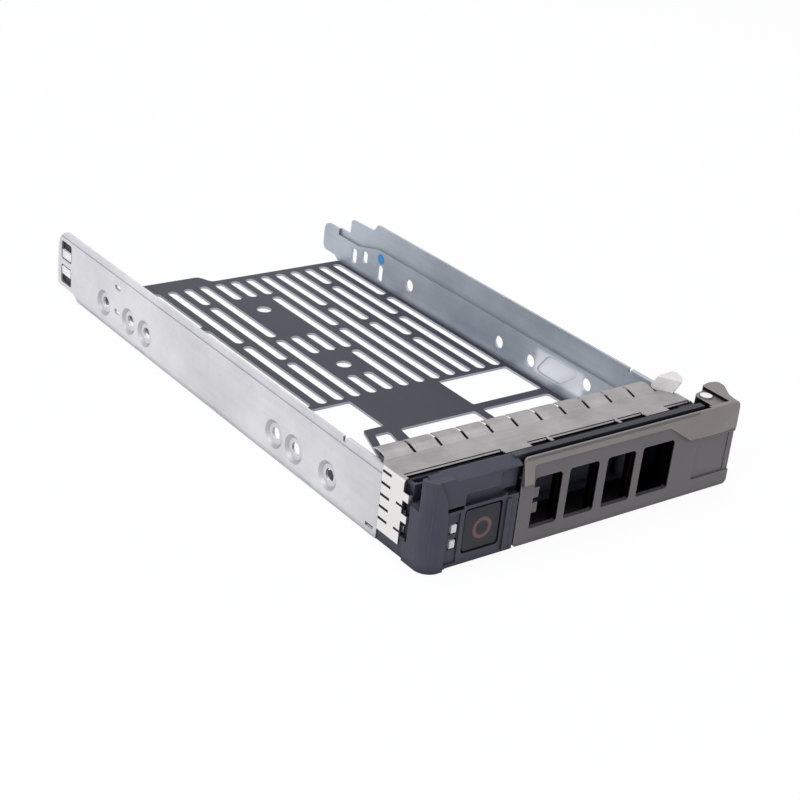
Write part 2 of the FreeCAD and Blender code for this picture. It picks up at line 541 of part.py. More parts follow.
def gasket():
    """Stainless contact strip folded over the bezel: arched spring fingers, side combs and hooks."""
    top, thick, half = size("gasket_top"), size("gasket"), size("rail_half_span")
    rear, root = size("gasket_rear"), size("finger_root")
    lip, front = size("gasket_lip"), size("gasket_front")
    flange_front, flange_rear, low, radius = -32.7, -23.45, 3.2, 1.3
    middle = top - thick / 2
    outer = [(-half, low), (-half, top, radius), (half, top, radius), (half, low)]
    inner = [(half - thick, low), (half - thick, top - thick, radius - thick),
             (-half + thick, top - thick, radius - thick), (-half + thick, low)]
    flap_room = [(46.98, -19.0), (46.98, -19.9), (50.4, -25.3), (54.0, -25.3), (54.0, -19.0)]
    folded = prism("gasket_saddle_sheet", "XZ", outer + inner, flange_front, "finger_root")
    saddle = cut("gasket_saddle", folded,
                 [prism("gasket_flap_room", "XY", flap_room, "seat_height - 0.4", "30")])
    arch = ribbon([(root - 0.5, middle), (root, middle), (-20.6, 22.55), (-19.2, 23.0), (-17.9, 23.2),
                   (-16.6, 23.05), (-15.7, 22.65), (rear, 22.3)], thick)
    bent_edge = ribbon([(lip + 0.5, middle), (lip, middle), (front + 0.1, 21.6)], thick)
    parts = [saddle, gasket_flap(), prism("gasket_fingers", "YZ", arch, "-51.3", "46.5"),
             prism("gasket_bent_edge", "YZ", bent_edge, "-51.2", "51.2")]
    tongue_spans = [(-19.2, -10.0, 2.1), (-3.1, -2.1, 1.9), (22.1, 23.1, 1.9), (32.4, 41.4, 2.1)]
    for i, (left, right, length) in enumerate(tongue_spans):
        parts.append(block(f"gasket_tongue_{i}", (left, right), (front - length, lip + 0.2),
                           ("gasket_top - gasket", "gasket_top")))
    for i, (z, tall) in enumerate(((17.5, 2.4), (11.4, 2.2))):
        hook = [(-half, flange_front + 0.2), (-half, -35.0), (-half + 0.9, -35.4), (-half + 0.9, -35.1),
                (-half + thick, -34.8), (-half + thick, flange_front + 0.2)]
        parts.append(prism(f"gasket_hook_{i}", "XY", hook, z - tall / 2, z + tall / 2))
    body = fused("gasket_solid", parts)
    corner = [(-54.0, -23.4), (-half, -23.4), (-50.2, -20.6), (-50.2, -15.0), (-54.0, -15.0)]
    below = ("0", "seat_height - 0.2")
    above_rest = ("0", "gasket_top + 1")
    holes = [block("gasket_front_trim", ("-51.2", "51.2"), (flange_front - 1, "gasket_front - 0.1"),
                   ("gasket_top - 2", "gasket_top - gasket - 0.01")),
             prism("gasket_left_corner", "XY", corner, "0", "30"),
             block("gasket_left_flange_trim", ("-53", "-51"), (flange_rear, rear), below),
             block("gasket_right_flange_trim", ("51", "53"), (flange_rear, rear), below),
             block("gasket_right_front_trim", ("51", "53"), (flange_front - 1, "-31.2"), above_rest)]
    spans = [(-51.2, -19.2), (-10.0, -3.1), (-2.1, 22.1), (23.1, 32.4), (41.4, 51.2)]
    for i, (left, right) in enumerate(spans):
        holes.append(block(f"gasket_edge_{i}", (left, right), (flange_front - 2, "gasket_lip - 0.45"),
                           ("gasket_top - gasket - 0.02", "gasket_top + 1")))
    for i in range(11):
        x = size("finger_shift") + size("finger_pitch") * (i - 5)
        slit = [(x - 0.45, root), (x + 0.45, root), (x + 0.45, rear - 0.9), (x + 1.2, rear + 0.2),
                (x - 1.2, rear + 0.2), (x - 0.45, rear - 0.9)]
        holes.append(prism(f"gasket_slit_{i}", "XY", slit, "gasket_top - 1", "gasket_top + 2"))
    for side in (-1, 1):
        flange = sorted((side * (half - 1.0), side * (half + 1.0)))
        for i in range(5):
            z = 6.7 + size("comb_pitch") * i
            holes.append(block(f"gasket_comb_{i}_{side + 1}", flange, (-27.4, flange_rear + 1),
                               (z - 0.4, z + 0.4)))
        for i, z in enumerate((7.0, 14.4)):
            holes.append(block(f"gasket_nick_{i}_{side + 1}", flange, (flange_front - 1, -30.2),
                               (z - 0.35, z + 0.35)))
    node("emi_gasket", cut("gasket_cut", body, holes))


# ---------------------------------------------------------------- handle and hinge

def handle():
    """Lever over the front: four windows, a sloping hood, two hinge ears and the ejector claw."""
    left, right, bottom, top = (size("handle_left"), size("handle_right"), size("handle_bottom"),
                                size("bezel_height"))
    low, high, line, hood_low = size("window_low"), size("window_high"), size("hood_line"), size("hood_low")
    front, rear, thin_rear = size("front_face"), size("handle_rear"), size("front_face") + 0.6
    panel_outline = [(left, bottom, 1.0), (right, bottom, 1.6), (right, top), (left, top, 1.4)]
    panel = prism("handle_panel", "XZ", panel_outline, "front_face", "handle_rear")
    slope = [(thin_rear, top), (front + 0.2, top, 0.1), (front - 1.4, hood_low, 0.5), (thin_rear, hood_low)]
    hood_front = [(-19.6, hood_low - 1), (-19.2, line, 1.0), (30.0, line, 1.0), (38.5, 18.8, 1.0),
                  (38.5, hood_low - 1)]
    left_corner = [(left - 1, top - 1.4), (left, top - 1.4), (left + 1.4, top), (left + 1.4, top + 1),
                   (left - 1, top + 1)]
    right_edge = [(right, 0), (right - 0.3, hood_low), (right - 0.5, 26.0, 0.6), (right - 1.2, top),
                  (right - 1.2, top + 1), (right + 1, top + 1), (right + 1, 0)]
    taper = [(46.0, -49.0), (46.0, front - 1.5), (right, front - 0.1), (right + 1, front - 0.1),
             (right + 1, -49.0)]
    hood = cut("handle_hood", prism("handle_hood_blank", "YZ", slope, left, right),
               [prism("handle_hood_front", "XZ", hood_front, "-48", "front_face"),
                prism("handle_hood_taper", "XY", taper, "0", "30"),
                prism("handle_hood_corner", "XZ", left_corner, "-48", "-42")])
    top_ear = [(49.2, -43.3), (56.6, -43.3), (57.4, -39.6), (57.4, -32.6), (54.0, -32.6, 2.0),
               (49.2, -33.6, 2.5)]
    claw = [(54.6, -43.3), (56.8, -43.3), (57.6, -39.6), (61.0, -34.2, 1.0), (61.2, -31.4, 1.2),
            (58.0, -30.8, 1.2), (54.6, -31.6, 1.0)]
    low_ear = [(46.6, -43.3), (56.6, -43.3), (56.4, -36.0, 2.5), (54.2, -32.3, 2.2), (49.4, -32.3, 2.2),
               (47.0, -36.0, 2.5)]
    solids = [panel, hood,
              prism("handle_top_ear", "XY", top_ear, "ear_high_bottom", "ear_high_top"),
              prism("handle_claw", "XY", claw, "ear_high_bottom", "bezel_height"),
              prism("handle_low_ear", "XY", low_ear, "handle_bottom", "ear_low_top"),
              block("handle_return", ("handle_right - 2.4", "handle_right - 1.3"),
                    ("front_face + 0.3", "-39.2"), ("handle_bottom + 0.8", "bezel_height - 1.2")),
              block("handle_hook_arm", ("-19.3", "-17.6"), ("handle_rear - 0.2", "-33.6"), ("9.6", "12.4")),
              block("handle_hook_tooth", ("-19.85", "-19.2"), ("-35.6", "-33.6"), ("9.6", "12.4"))]
    for i, (z_low, z_high) in enumerate(((9.0, 12.0), (13.5, 16.5))):
        solids.append(block(f"handle_tooth_{i}", ("-18.6", "-15.5"), ("front_face + 0.7", "handle_rear"),
                            (z_low, z_high)))
    windows = []
    for i, (a, b) in enumerate(WINDOWS):
        opening = [(a, low, 0.9), (b, low, 0.9), (b, high - 0.9, 0.5), (b - 0.9, high, 0.5), (a, high, 0.9)]
        windows.append(prism(f"handle_window_{i}", "XZ", opening, "-48", "handle_rear + 0.5"))
    panel_cut = cut("handle_pierced", fused("handle_front", [panel, hood]),
                    windows + [block("handle_lip_room", ("handle_left - 1", "46.4"), (thin_rear, "-42"),
                                     ("20.6", "30")),
                               prism("handle_right_edge", "XZ", right_edge, "-48", "-42"),
                               prism("handle_facet", "XZ", rectangle(42.6, 60.0, 4.9, 17.4, 0.6), "-48",
                                     "front_face + 0.5")])
    bore = rod("handle_bore", "Z", ("pin_x", "pin_y", "-1"), "30", "pin_radius + running")
    node("handle_lever", cut("handle_cut", fused("handle_solid", [panel_cut] + solids[2:]), [bore]))


def hinge_pin():
    """Headed steel pin, pressed into the bezel's lugs."""
    shank = rod("pin_shank", "Z", ("pin_x", "pin_y", "handle_bottom + 0.1"), "ear_high_top - handle_bottom",
                "pin_radius")
    head = rod("pin_head", "Z", ("pin_x", "pin_y", "ear_high_top + 0.05"), "0.45", "1.8")
    node("hinge_pin", fused("pin_solid", [shank, head]))


def coil(radius, wire, length, turns):
    """A helical spring along +Z from the origin."""
    pitch = (length - 2 * wire) / turns
    helix = Part.makeHelix(pitch, pitch * turns, radius)
    start = Part.Circle(Vector(radius, 0, 0), Vector(0, 1, 0), wire).toShape()
    return Part.Wire(helix.Edges).makePipeShell([Part.Wire([start])], True, True)


def placed_coil(name, start, turn, radius, wire, length, turns):
    """A coil spring as a sub-part, from its start point along a turned +Z."""
    feature = doc.addObject("Part::Feature", name)
    feature.Shape = coil(radius, wire, length, turns)
    feature.Placement = Placement(Vector(*start), turn).multiply(Placement(Vector(0, 0, wire), Rotation()))
    return feature


def springs():
    """Hinge spring round the pin, button spring along Y, latch spring along X."""
    node("hinge_spring", placed_coil("hinge_spring_coil", (size("pin_x"), size("pin_y"), 8.8), Rotation(),
                                     2.1, 0.4, 7.0, 6))
    node("button_spring", placed_coil("button_spring_coil", (-30.2, size("button_rear"), 5.6), TURNS["Y"],
                                      1.1, 0.3, 5.7, 4))
    node("latch_spring", placed_coil("latch_spring_coil", (-45.4, -33.3, 9.4), TURNS["X"], 1.1, 0.3, 4.9, 3))


# ---------------------------------------------------------------- button and latch

BUTTON_RING = (-34.2, 9.3)


def release_button():
    """Square button with an inlaid ring and a stem that ends in a wedge."""
    face, rear = size("button_face"), size("button_rear")
    cap = prism("button_cap", "XZ", rectangle(size("button_left"), size("button_right"), size("button_low"),
                                              size("button_high"), 1.0), "button_face", "button_rear")
    left, right, tip = size("stem_left"), size("stem_right"), size("stem_tip")
    wedge = [(left, rear - 0.2), (right, rear - 0.2), (right, tip), (left, tip - (right - left))]
    stem = prism("button_stem", "XY", wedge, "6.5", "9.5")
    x, z = BUTTON_RING
    groove = cut("button_groove", rod("button_groove_outer", "Y", (x, "button_face", z), "0.3", "ring_outer"),
                 [rod("button_groove_inner", "Y", (x, "button_face - 1", z), "3", "ring_inner")])
    ring = cut("button_ring_cut", rod("button_ring_outer", "Y", (x, "button_face", z), "0.3", "ring_outer"),
               [rod("button_ring_inner", "Y", (x, "button_face - 1", z), "3", "ring_inner")])
    node("release_button", cut("button_cut", fused("button_solid", [cap, stem]), [groove]))
    node("button_ring", ring)


def latch_slide():
    """Catch that the button's wedge pushes aside, with its tooth through the bezel's inner wall."""
    left, right, tip, gap = size("stem_left"), size("stem_right"), size("stem_tip"), size("wedge_gap")
    reach = right - left
    ramp_start = (left - gap * 0.7, tip - reach + gap * 0.7)
    ramp_end = (right - gap * 0.7, tip + gap * 0.7)
    wedge = prism("latch_wedge", "XY", [ramp_start, ramp_end, (ramp_end[0], -31.2), (-40.5, -31.2),
                                        (-40.5, ramp_start[1])], "6.5", "12.2")
    tooth = [(-36.0, -36.8), (-21.4, -36.8), (-20.05, -35.4), (-20.05, -33.6), (-20.8, -31.2), (-36.0, -31.2)]
    bar = prism("latch_bar", "XY", tooth, "9.8", "12.2")
    node("latch_slide", fused("latch_solid", [wedge, bar]))


# ---------------------------------------------------------------- light pipes

PIPE_ROUTES = {
    "upper_light_pipe": [(155.0, 13.4), (150.0, 13.4), (146.0, 17.6), (-6.0, 17.6), (-17.0, LENS_HEIGHTS[0]),
                         (-31.0, LENS_HEIGHTS[0])],
    "lower_light_pipe": [(155.0, 7.6), (146.0, 7.6), (139.0, 13.4), (-6.0, 13.4), (-17.0, LENS_HEIGHTS[1]),
                         (-31.0, LENS_HEIGHTS[1])],
}


def pipe_solids(label, route, lens_height, play=0.0):
    """One pipe: a flat strip along the rail, a bend to the front lens and a lens in the rail's window."""
    rear_height = route[0][1]
    strip = prism(f"{label}_strip", "YZ", ribbon(route, 2.0 + 2 * play), f"pipe_x - {play}",
                  f"pipe_x + pipe + {play}")
    rear = block(f"{label}_rear_lens", (f"-rail_half_span + 0.15 - {play}", f"pipe_x + pipe + {play}"),
                 (152.4 - play, 158.4 + play), (rear_height - 1.4 - play, rear_height + 1.4 + play))
    if lens_height is None:
        return [strip, rear]
    middle = size("pipe_x") + size("pipe") / 2
    bend_x = (size("lens_left") + size("lens_right")) / 2
    bend = ribbon([(middle, -30.0), (middle, -30.9), (bend_x, -30.9 - (bend_x - middle)), (bend_x, -39.0)],
                  size("pipe"))
    return [strip, rear, prism(f"{label}_bend", "XY", bend, lens_height - 1.0, lens_height + 1.0),
            block(f"{label}_lens", ("lens_left", "lens_right"), ("front_face + 0.2", "-38.4"),
                  (lens_height - 1.15, lens_height + 1.15))]


def light_pipes():
    """Two clear strips from the bezel's windows to the rear of the left rail, and their clip."""
    for (label, route), height in zip(PIPE_ROUTES.items(), LENS_HEIGHTS):
        node(label, fused(f"{label}_solid", pipe_solids(label, route, height)))
    room = [piece for label, route in PIPE_ROUTES.items()
            for piece in pipe_solids(f"{label}_room", route, None, 0.05)]
    plate = prism("clip_plate", "YZ", rectangle(149.6, 160.4, 2.3, 18.7, 0.8), "pipe_x", "pipe_x + pipe")
    bridge = block("clip_bridge", ("pipe_x + pipe - 0.05", "pipe_x + pipe + 0.6"), ("158.6", "160.2"),
                   ("2.6", "18.4"))
    node("light_pipe_clip", fused("clip_solid", [cut("clip_cut", plate, room), bridge]))


# ---------------------------------------------------------------- screws

def screws():
    """Four pan-head screws into the bezel and two countersunk ones through the plate."""
    pan, sunk = [], []
    for side, heights in ((-1, LEFT_BEZEL_SCREWS), (1, RIGHT_BEZEL_SCREWS)):
        for i, z in enumerate(heights):
            x = side * BEZEL_SCREW_X
            tag = f"{i}_{side + 1}"
            shank = rod(f"bezel_screw_shank_{tag}", "Y", (x, "rail_front - 5.4", z), "5.5 + metal", "1.0")
            head = rod(f"bezel_screw_head_{tag}", "Y", (x, "rail_front + metal", z), "1.2", "1.9", "1.5")
            pan.append(fused(f"bezel_screw_{tag}", [shank, head]))
    for i, (x, y) in enumerate(PLATE_SCREWS):
        head = rod(f"plate_screw_head_{i}", "Z", (x, y, "0.05"), "metal - 0.05", "1.8", "1.0")
        shank = rod(f"plate_screw_shank_{i}", "Z", (x, y, "metal - 0.1"), "5", "0.95")
        sunk.append(fused(f"plate_screw_{i}", [head, shank]))
    for label, group in (("bezel_screws", pan), ("plate_screws", sunk)):
        together = doc.addObject("Part::Compound", f"{label}_group")
        together.Links = group
        node(label, together)


def finish():
    """Check every object, then write one STEP file per sub-part."""
    doc.recompute()
    failed = [o.Name for o in doc.Objects if "Invalid" in o.State or "Error" in o.State]
    if failed:
        raise RuntimeError(f"objects that failed: {failed}")
    os.makedirs("parts", exist_ok=True)
    for part in NODES:
        shape = part.Shape
        if shape.isNull() or not shape.isValid() or shape.Volume <= 0:
            raise RuntimeError(f"{part.Label} has no valid solid")
        shape.exportStep(f"parts/{part.Label}.step")
        box = shape.BoundBox
        print(f"{part.Label}: {len(shape.Solids)} solid(s), {shape.Volume:.1f} mm3, "
              f"x {box.XMin:.2f}..{box.XMax:.2f} y {box.YMin:.2f}..{box.YMax:.2f} "
              f"z {box.ZMin:.2f}..{box.ZMax:.2f}")


for make in (left_rail, right_rail, rail_plug, base_plate, bezel, latch_cover, gasket, handle, hinge_pin,
             springs, release_button, latch_slide, light_pipes, screws):
    make()
finish()
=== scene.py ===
"""Hot swap drive caddy: finishes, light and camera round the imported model. Lengths are in metres."""
from math import cos, radians, sin

import bpy
from mathutils import Matrix, Vector


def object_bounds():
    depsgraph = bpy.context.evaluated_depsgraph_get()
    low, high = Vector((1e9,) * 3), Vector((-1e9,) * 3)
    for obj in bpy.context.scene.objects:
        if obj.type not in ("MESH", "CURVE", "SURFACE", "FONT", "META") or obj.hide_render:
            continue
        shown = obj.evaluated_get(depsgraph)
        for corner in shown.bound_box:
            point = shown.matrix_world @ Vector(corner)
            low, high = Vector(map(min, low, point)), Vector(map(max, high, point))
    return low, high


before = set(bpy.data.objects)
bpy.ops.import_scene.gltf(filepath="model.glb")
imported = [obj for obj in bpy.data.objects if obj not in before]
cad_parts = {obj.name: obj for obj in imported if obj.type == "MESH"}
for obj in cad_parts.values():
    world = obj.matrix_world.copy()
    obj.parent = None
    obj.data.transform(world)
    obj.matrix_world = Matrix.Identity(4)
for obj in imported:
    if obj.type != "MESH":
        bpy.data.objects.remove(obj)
cad_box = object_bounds()
scene = bpy.context.scene

# ---------------------------------------------------------------- camera

CAMERA_AT = (-0.293141, -0.322196, 0.223997)
AZIMUTH, ELEVATION, ROLL = radians(-39.2075), radians(25.5364), radians(6.4684)
SENSOR_MM, LENS_MM = 36.0, 76.2099
NEAR, FAR = 0.01, 20.0


def set_camera():
    """Long lens from the front left, turned a little about its own axis."""
    back = Vector((sin(AZIMUTH) * cos(ELEVATION), -cos(AZIMUTH) * cos(ELEVATION), sin(ELEVATION)))
    level = (-back).cross(Vector((0, 0, 1))).normalized()
    upright = level.cross(-back)
    right = level * cos(ROLL) + upright * sin(ROLL)
    up = upright * cos(ROLL) - level * sin(ROLL)
    data = bpy.data.cameras.new("camera")
    data.sensor_width, data.lens = SENSOR_MM, LENS_MM
    data.clip_start, data.clip_end = NEAR, FAR
    camera = bpy.data.objects.new("camera", data)
    scene.collection.objects.link(camera)
    turn = Matrix((right, up, back)).transposed()
    camera.matrix_world = Matrix.Translation(CAMERA_AT) @ turn.to_4x4()
    scene.camera = camera


set_camera()

# ---------------------------------------------------------------- node helpers

# Sockets of a colour Mix node, by number, because its names repeat for every type of data.
MIX_FACTOR, MIX_FIRST, MIX_SECOND, MIX_RESULT = 0, 6, 7, 2
OPENNESS_POWER = 1.4
# Where the painted edge highlight, which is partly wear, starts and is full.
EDGE_HIGHLIGHT_LOW, EDGE_HIGHLIGHT_HIGH = 0.06, 0.3


class Nodes:
    """Short ways to add linked shader nodes to one material."""

    def __init__(self, name):
        self.material = bpy.data.materials.new(name)
        self.material.use_nodes = True
        self.tree = self.material.node_tree
        self.shader = self.tree.nodes["Principled BSDF"]
        self.output = self.tree.nodes["Material Output"]
        self.coordinates = self.tree.nodes.new("ShaderNodeTexCoord").outputs["Object"]

    def add(self, kind, inputs=None, **settings):
        """A new node, with its settings made and its inputs filled or linked."""
        made = self.tree.nodes.new("ShaderNode" + kind)
        for key, value in settings.items():
            setattr(made, key, value)
        for key, value in (inputs or {}).items():
            self.put(made.inputs[key], value)
        return made

    def put(self, socket, value):
        """Links a socket to another node's output, or sets it to a plain value."""
        if isinstance(value, bpy.types.NodeSocket):
            self.tree.links.new(value, socket)
        else:
            socket.default_value = value

    def set(self, **values):
        """Fills the shader's own inputs, named with _ for each space."""
        for key, value in values.items():
            self.put(self.shader.inputs[key.replace("_", " ")], value)
        return self

    def noise(self, scale, detail, roughness, stretch=None):
        """Noise of so many cycles a metre; a stretch below 1 draws it out along that axis."""
        vector = self.coordinates
        if stretch:
            vector = self.add("Mapping", {"Vector": vector, "Scale": stretch}).outputs["Vector"]
        return self.add("TexNoise", {"Vector": vector, "Scale": scale, "Detail": detail,
                                     "Roughness": roughness}).outputs["Fac"]

    def ramp(self, factor, stops):
        """A colour or grey read off between (place, value) stops."""
        made = self.add("ValToRGB", {"Fac": factor})
        for element, (place, value) in zip(made.color_ramp.elements, stops):
            element.position = place
            element.color = (*value, 1.0) if isinstance(value, tuple) else (value, value, value, 1.0)
        return made.outputs["Color"]

    def mix(self, factor, first, second):
        """The first colour at a factor of 0, the second at 1."""
        made = self.add("Mix", data_type="RGBA")
        for number, value in ((MIX_FACTOR, factor), (MIX_FIRST, first), (MIX_SECOND, second)):
            self.put(made.inputs[number], (*value, 1.0) if isinstance(value, tuple) else value)
        return made.outputs[MIX_RESULT]

    def maths(self, operation, *values):
        """One Math node over up to three values."""
        made = self.add("Math", operation=operation)
        for socket, value in zip(made.inputs, values):
            self.put(socket, value)
        return made.outputs[0]

    def times(self, first, *others):
        """The product of all the values."""
        product = first
        for value in others:
            product = self.maths("MULTIPLY", product, value)
        return product

    def bump(self, height, distance, strength, edge=None):
        """A normal raised by the height, on edges rounded by a radius where one is given."""
        inputs = {"Height": height, "Distance": distance, "Strength": strength}
        if edge:
            inputs["Normal"] = self.add("Bevel", {"Radius": edge}, samples=4).outputs["Normal"]
        return self.add("Bump", inputs).outputs["Normal"]

    def normal(self, axis):
        """The part of the surface's normal that lies along one axis."""
        return self.add("SeparateXYZ", {"Vector": self.add("NewGeometry").outputs["Normal"]}).outputs[axis]

    def facing(self, axis):
        """How far the surface faces along an axis, from 0 to 1, whichever way."""
        return self.maths("ABSOLUTE", self.normal(axis))

    def place(self, axis):
        """Where the point lies along one axis of the object."""
        return self.add("SeparateXYZ", {"Vector": self.coordinates}).outputs[axis]

    def between(self, value, zero_at, one_at):
        """0 at and past one limit, 1 at and past the other, smooth between; either may be the higher."""
        made = self.add("MapRange", {"Value": value, "From Min": zero_at, "From Max": one_at},
                        interpolation_type="SMOOTHSTEP")
        return made.outputs["Result"]

    def band(self, axis, low, high, fade):
        """1 between two places along an axis, fading to 0 at them over a short length."""
        return self.times(self.between(self.place(axis), low, low + fade),
                          self.between(self.place(axis), high, high - fade))

    def paint_crevice_shade(self, colour, reach, dark):
        """The colour, darkened where walls stand close: painted shade in crevices and creases."""
        openness = self.add("AmbientOcclusion", {"Distance": reach}, samples=8).outputs["AO"]
        return self.mix(self.maths("POWER", openness, OPENNESS_POWER), dark, colour)

    def edge_highlight_and_wear(self, colour, radius, bright):
        """The colour, paler along sharp edges: a painted edge highlight, partly also wear from handling.
        """
        soft = self.add("Bevel", {"Radius": radius}, samples=6).outputs["Normal"]
        true = self.add("NewGeometry").outputs["Normal"]
        along = self.add("VectorMath", {0: soft, 1: true}, operation="DOT_PRODUCT").outputs["Value"]
        edge = self.between(self.maths("SUBTRACT", 1.0, along), EDGE_HIGHLIGHT_LOW, EDGE_HIGHLIGHT_HIGH)
        return self.mix(edge, colour, bright)


# ---------------------------------------------------------------- finishes
# Colours are linear red, green and blue. A ramp's stops are where the noise reaches its end colours.

SATIN = 0.25                # specular level of bezel, button, latch and the plate's coating
LINE_HEIGHT = 0.00002       # of rolling lines, fine grain and print
GRAIN_HEIGHT = 0.00004      # of the moulds' spark texture

ZINC_SHINE = 0.7
ZINC_SPECK, ZINC_SLOPE_SHADE = (0.36, 0.37, 0.39), (0.20, 0.20, 0.22)
ZINC_PAD_REFLECTION, ZINC_CREASE_SHADE = (0.90, 0.92, 0.95), (0.16, 0.17, 0.20)
PATCH_SHARE, SPECK_SHARE, SLOPE_SHADE_SHARE, PAD_REFLECTION_SHARE = 0.84, 0.16, 0.5, 0.8
# The stamped field of the right rail, which carries a paler painted reflection: low end, high end and
# fading edge along each axis.
RAIL_PAD = {"Y": (0.010, 0.0355, 0.003), "Z": (0.003, 0.013, 0.002)}


def zinc(name, low, high, pad=None):
    """Zinc-coated sheet: faint rolling lines, clouded patches and specks, with painted shade on its slopes
    and in its creases.

    low and high are the ends of its clouded colour. pad is a stamped field, made brighter than the rest by
    a painted reflection.
    """
    made = Nodes(name)
    lines = made.noise(scale=700, detail=4, roughness=0.6, stretch=(1.0, 0.05, 1.0))
    patches = made.noise(scale=24, detail=6, roughness=0.62)
    tone = made.maths("ADD", made.times(patches, PATCH_SHARE), made.times(lines, 1.0 - PATCH_SHARE))
    colour = made.ramp(tone, [(0.38, low), (0.62, high)])
    specks = made.between(made.noise(scale=520, detail=2, roughness=0.5), 0.66, 0.74)
    colour = made.mix(made.times(specks, SPECK_SHARE), colour, ZINC_SPECK)
    # Painted shade on slopes that turn away from the rail's face, as on dimples and bends.
    tilt = made.facing("X")
    slopes = made.times(made.between(tilt, 0.96, 0.88), made.between(tilt, 0.25, 0.4))
    colour = made.mix(made.times(slopes, SLOPE_SHADE_SHARE), colour, ZINC_SLOPE_SHADE)
    if pad:
        # Painted reflection: the stamped field is made paler.
        bright = made.times(made.band("Y", *pad["Y"]), made.band("Z", *pad["Z"]), PAD_REFLECTION_SHARE)
        colour = made.mix(bright, colour, ZINC_PAD_REFLECTION)
    # Painted shade in creases and where walls stand close.
    colour = made.paint_crevice_shade(colour, reach=0.0022, dark=ZINC_CREASE_SHADE)
    rough = made.ramp(tone, [(0.3, 0.4), (0.7, 0.52)])
    return made.set(Base_Color=colour, Roughness=rough, Metallic=ZINC_SHINE,
                    Normal=made.bump(lines, LINE_HEIGHT, strength=0.12, edge=0.00015)).material


COATING_LOW, COATING_HIGH = (0.030, 0.030, 0.043), (0.052, 0.052, 0.071)
COATING_SCUFF, BARE_EDGE = (0.15, 0.155, 0.18), (0.38, 0.39, 0.43)
SCUFF_SHARE = 0.35


def coated_sheet():
    """Dark coated sheet, scuffed along its length, whose cut edges are left bare."""
    made = Nodes("coated_plate_finish")
    grain = made.noise(scale=1400, detail=3, roughness=0.6)
    wear = made.noise(scale=38, detail=6, roughness=0.7, stretch=(1.0, 0.3, 1.0))
    skin = made.ramp(wear, [(0.32, COATING_LOW), (0.72, COATING_HIGH)])
    rubbed = made.noise(scale=160, detail=5, roughness=0.75, stretch=(1.0, 0.18, 1.0))
    scuffs = made.times(made.between(rubbed, 0.6, 0.72), SCUFF_SHARE)
    skin = made.mix(scuffs, skin, COATING_SCUFF)
    cut = made.ramp(made.facing("Z"), [(0.3, 1.0), (0.6, 0.0)])
    rough = made.ramp(wear, [(0.3, 0.42), (0.75, 0.6)])
    return made.set(Base_Color=made.mix(cut, skin, BARE_EDGE), Roughness=rough, Metallic=0.1,
                    Specular_IOR_Level=SATIN, Normal=made.bump(grain, LINE_HEIGHT, strength=0.3)).material


# Where the bezel lies in the dark: right of, below and ahead of these, with a soft limit.
SHADE_LEFT, SHADE_TOP, SHADE_REAR, SHADE_FADE = -0.0205, 0.0200, -0.029, 0.0005
SHADED_WALL, SHADED_STRIP = (0.008, 0.008, 0.010), (0.012, 0.012, 0.016)
STRIP_SHARE = 0.6


def shade_behind_handle(made, colour):
    """The bezel's colour with near black walls behind the handle, and how deep that shade is.

    The strip above those walls is darkened too, but less.
    """
    right = made.between(made.place("X"), SHADE_LEFT, SHADE_LEFT + SHADE_FADE)
    below = made.between(made.place("Z"), SHADE_TOP, SHADE_TOP - SHADE_FADE)
    ahead = made.between(made.place("Y"), SHADE_REAR, SHADE_REAR - SHADE_FADE)
    strip = made.times(right, made.maths("SUBTRACT", 1.0, below), ahead)
    colour = made.mix(made.times(strip, STRIP_SHARE), colour, SHADED_STRIP)
    shade = made.times(right, below, ahead)
    return made.mix(shade, colour, SHADED_WALL), shade


ROUNDING_SEEN = 1.4         # the radius of the painted corner highlight, partly wear, to the edge's own


def moulded(name, low, high, rough, lit_and_worn_edge_colour, dark, edge=0.00025, behind_handle=False):
    """Moulded plastic with a fine spark texture, softened edges, a painted highlight on its corners that
    is partly wear, and painted shade in its crevices.

    low and high are the ends of its clouded colour, rough those of its roughness; the edge colour that
    follows is that of the painted highlight, partly wear, on its corners;
    dark is that of the painted shade in its crevices, and edge the radius of its edges.
    """
    made = Nodes(name)
    grain = made.noise(scale=2600, detail=2, roughness=0.6)
    cloud = made.noise(scale=60, detail=4, roughness=0.6)
    colour = made.ramp(cloud, [(0.3, low), (0.7, high)])
    # A painted highlight, partly wear, along the corners, then painted shade in the crevices.
    colour = made.edge_highlight_and_wear(colour, edge * ROUNDING_SEEN, lit_and_worn_edge_colour)
    colour = made.paint_crevice_shade(colour, reach=0.003, dark=dark)
    metallic = 0.0
    if behind_handle:
        # Metallic too, which takes most of the plastic's pale gloss away there.
        colour, metallic = shade_behind_handle(made, colour)
    gloss = made.ramp(cloud, [(0.3, rough[0]), (0.7, rough[1])])
    return made.set(Base_Color=colour, Roughness=gloss, Metallic=metallic, Specular_IOR_Level=SATIN,
                    Normal=made.bump(grain, GRAIN_HEIGHT, strength=0.35, edge=edge)).material


PANEL_LOW, PANEL_HIGH = (0.086, 0.078, 0.085), (0.110, 0.100, 0.107)
# The hood's paler, warmer colour is a painted sheen.
HOOD_SHEEN_LOW, HOOD_SHEEN_HIGH = (0.165, 0.147, 0.133), (0.200, 0.180, 0.163)
# Colours of the painted edge highlight, partly wear, and of the painted shade in crevices.
HANDLE_EDGE_HIGHLIGHT_AND_WEAR, HANDLE_CREVICE_SHADE = (0.27, 0.245, 0.225), (0.030, 0.027, 0.030)
# Painted shade on the walls inside the handle's windows.
WINDOW_WALL_SHADE = (0.008, 0.008, 0.009)
HANDLE_FRONT = -0.044       # Y of the handle's front panel
HOOD_FOOT = 0.0187          # Z of the hood's lower edge
HOOD_BLOCK = 0.041          # X where the hood's end block starts
HOOD_FADE, BLOCK_FADE = 0.0004, 0.001
WINDOW_START, WINDOW_DARK = 0.0001, 0.0006      # behind the front, where the painted shade on the windows' walls starts and is full
PANEL_METALLIC, WALL_SHADE_METALLIC = 0.2, 0.8      # the handle's own, and what the painted shade on its window walls adds
